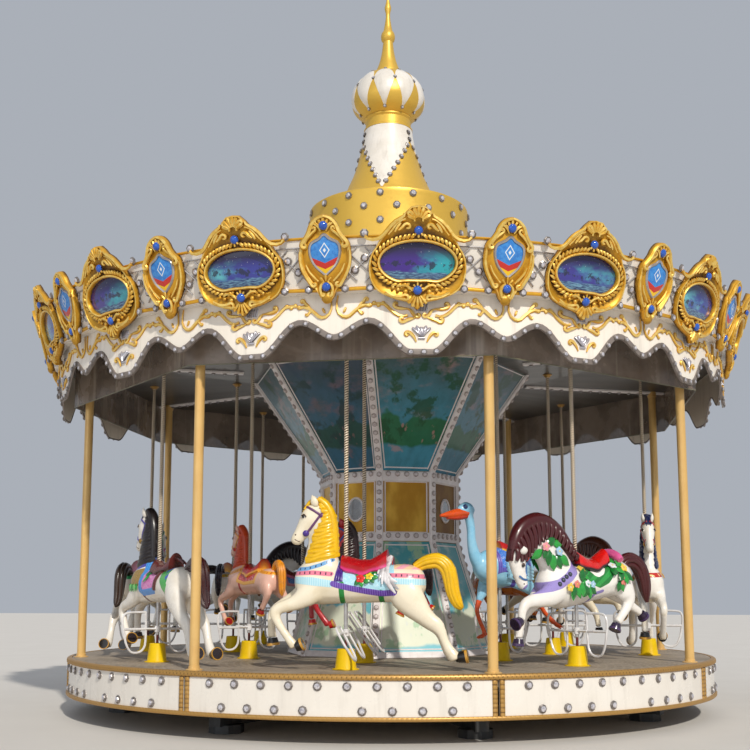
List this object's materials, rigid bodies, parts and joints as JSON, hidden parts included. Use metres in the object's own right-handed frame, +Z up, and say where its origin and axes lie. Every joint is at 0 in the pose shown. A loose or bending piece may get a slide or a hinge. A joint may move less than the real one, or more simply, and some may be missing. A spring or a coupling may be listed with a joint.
{
  "type": "fairground carousel",
  "caption": "Round fairground carousel with galloping horses and other figures on brass poles, a white and gold crown over a scalloped valance, and a domed top with a spire.",
  "frame": {"origin": "on the ground at the middle of the ride, under the turning axis", "axes": "+Z up along the turning axis, -Y towards the front bay; animals face clockwise seen from above"},
  "size_m": [7.6066, 7.6066, 8.14],
  "materials": {
    "steel_frame": "dull dark grey paint",
    "deck_plate": "worn grey tread plate",
    "white_panel": "glossy white gel coat",
    "gold_trim": "satin gold paint",
    "gold_relief": "glossy gold paint on moulded relief",
    "post_gold": "pale gold gloss paint",
    "ceiling_paint": "painted boards",
    "roof_skin": "off-white weathered skin",
    "smoky_film": "see-through grey film",
    "painted_panel": "painted scene panel",
    "amber_mirror": "amber mirror sheet",
    "night_panel": "painted dark blue panel",
    "silver_rib": "silver moulding with round lamps",
    "dome_gold": "glossy gold gel coat",
    "petal_white": "white petals on gold",
    "cream_figure": "glossy painted figure",
    "white_figure": "glossy painted figure",
    "red_figure": "glossy painted figure",
    "blue_figure": "glossy painted figure",
    "orange_figure": "glossy painted figure",
    "peach_figure": "glossy painted figure"
  },
  "bodies": {
    "ground": {"ground_frame": "steel_frame"},
    "carousel": {"deck": "deck_plate", "skirt_panels": "white_panel", "skirt_trim": "gold_trim", "post_1": "post_gold", "post_2": "post_gold", "post_3": "post_gold", "post_4": "post_gold", "post_5": "post_gold", "post_6": "post_gold", "post_7": "post_gold", "post_8": "post_gold", "ceiling": "ceiling_paint", "roof": "roof_skin", "rain_skirt": "smoky_film", "valance": "white_panel", "crown_wall": "white_panel", "crown_trim": "gold_relief", "centre_base": "painted_panel", "centre_drum": "amber_mirror", "centre_cone": "night_panel", "centre_ribs": "silver_rib", "dome_drum": "dome_gold", "dome_cone": "dome_gold", "neck_band": "dome_gold", "onion": "petal_white", "spire": "dome_gold"},
    "horse_outer_1": {"horse_outer_1": "cream_figure"},
    "horse_outer_2": {"horse_outer_2": "white_figure"},
    "horse_outer_3": {"horse_outer_3": "white_figure"},
    "horse_outer_4": {"horse_outer_4": "cream_figure"},
    "horse_outer_5": {"horse_outer_5": "white_figure"},
    "horse_outer_6": {"horse_outer_6": "white_figure"},
    "horse_outer_7": {"horse_outer_7": "white_figure"},
    "horse_outer_8": {"horse_outer_8": "white_figure"},
    "horse_inner_1": {"horse_inner_1": "red_figure"},
    "ostrich": {"ostrich": "blue_figure"},
    "horse_inner_3": {"horse_inner_3": "white_figure"},
    "deer": {"deer": "orange_figure"},
    "horse_inner_5": {"horse_inner_5": "cream_figure"},
    "horse_inner_6": {"horse_inner_6": "white_figure"},
    "horse_inner_7": {"horse_inner_7": "white_figure"},
    "horse_inner_8": {"horse_inner_8": "peach_figure"}
  },
  "joints": [
    {"name": "carousel_turn", "type": "hinge", "parent": "ground", "child": "carousel", "pos_m": [0, 0, 0.9], "axis": [0, 0, 1], "continuous": true},
    {"name": "horse_outer_1_rise", "type": "slide", "parent": "carousel", "child": "horse_outer_1", "axis": [0, 0, 1], "range_m": [-0.04, 0.16]},
    {"name": "horse_outer_2_rise", "type": "slide", "parent": "carousel", "child": "horse_outer_2", "axis": [0, 0, 1], "range_m": [-0.04, 0.16]},
    {"name": "horse_outer_3_rise", "type": "slide", "parent": "carousel", "child": "horse_outer_3", "axis": [0, 0, 1], "range_m": [-0.04, 0.16]},
    {"name": "horse_outer_4_rise", "type": "slide", "parent": "carousel", "child": "horse_outer_4", "axis": [0, 0, 1], "range_m": [-0.04, 0.16]},
    {"name": "horse_outer_5_rise", "type": "slide", "parent": "carousel", "child": "horse_outer_5", "axis": [0, 0, 1], "range_m": [-0.04, 0.16]},
    {"name": "horse_outer_6_rise", "type": "slide", "parent": "carousel", "child": "horse_outer_6", "axis": [0, 0, 1], "range_m": [-0.04, 0.16]},
    {"name": "horse_outer_7_rise", "type": "slide", "parent": "carousel", "child": "horse_outer_7", "axis": [0, 0, 1], "range_m": [-0.04, 0.16]},
    {"name": "horse_outer_8_rise", "type": "slide", "parent": "carousel", "child": "horse_outer_8", "axis": [0, 0, 1], "range_m": [-0.04, 0.16]},
    {"name": "horse_inner_1_rise", "type": "slide", "parent": "carousel", "child": "horse_inner_1", "axis": [0, 0, 1], "range_m": [-0.04, 0.16]},
    {"name": "ostrich_rise", "type": "slide", "parent": "carousel", "child": "ostrich", "axis": [0, 0, 1], "range_m": [-0.04, 0.16]},
    {"name": "horse_inner_3_rise", "type": "slide", "parent": "carousel", "child": "horse_inner_3", "axis": [0, 0, 1], "range_m": [-0.04, 0.16]},
    {"name": "deer_rise", "type": "slide", "parent": "carousel", "child": "deer", "axis": [0, 0, 1], "range_m": [-0.04, 0.16]},
    {"name": "horse_inner_5_rise", "type": "slide", "parent": "carousel", "child": "horse_inner_5", "axis": [0, 0, 1], "range_m": [-0.04, 0.16]},
    {"name": "horse_inner_6_rise", "type": "slide", "parent": "carousel", "child": "horse_inner_6", "axis": [0, 0, 1], "range_m": [-0.04, 0.16]},
    {"name": "horse_inner_7_rise", "type": "slide", "parent": "carousel", "child": "horse_inner_7", "axis": [0, 0, 1], "range_m": [-0.04, 0.16]},
    {"name": "horse_inner_8_rise", "type": "slide", "parent": "carousel", "child": "horse_inner_8", "axis": [0, 0, 1], "range_m": [-0.04, 0.16]}
  ]
}
